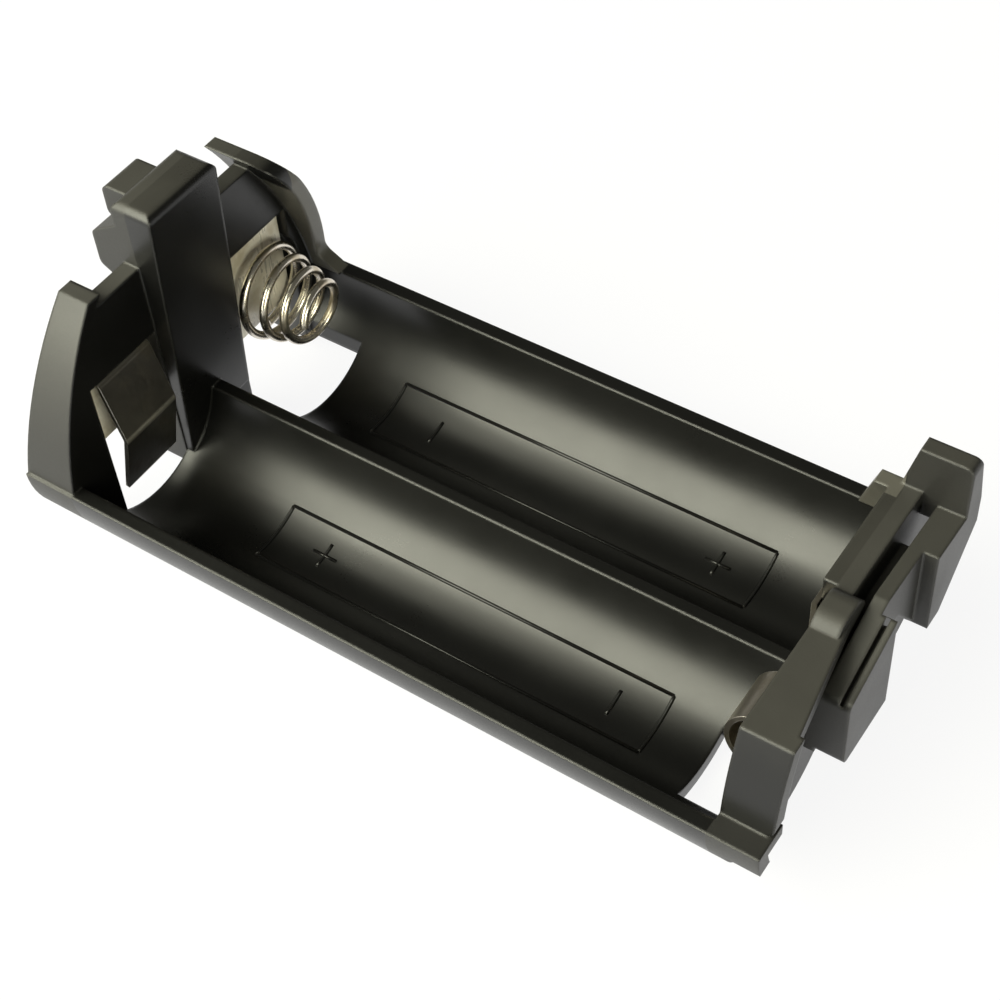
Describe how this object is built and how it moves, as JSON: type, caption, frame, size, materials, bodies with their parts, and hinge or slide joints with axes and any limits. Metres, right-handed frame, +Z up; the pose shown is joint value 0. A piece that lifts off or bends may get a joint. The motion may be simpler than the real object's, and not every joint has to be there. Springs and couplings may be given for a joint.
{
  "type": "cylindrical cell holder",
  "caption": "Moulded tray that holds round AA-size cells side by side, with a latch tongue, a coil spring, a leaf contact and a bridge contact.",
  "frame": {"origin": "centre of the box that bounds the tray, on the surface under the troughs", "axes": "+X along the cells from the coil spring's end to the bridge end, +Y across them, +Z up"},
  "size_m": [0.0676, 0.0334, 0.0292],
  "materials": {
    "moulding": "satin moulded",
    "spring_wire": "nickel-plated, satin",
    "contact_sheet": "nickel-plated, satin"
  },
  "bodies": {
    "root": {"tray": "moulding", "coil_spring": "spring_wire", "spring_plate": "contact_sheet", "leaf_contact": "contact_sheet", "bridge_contact": "contact_sheet"}
  },
  "joints": []
}
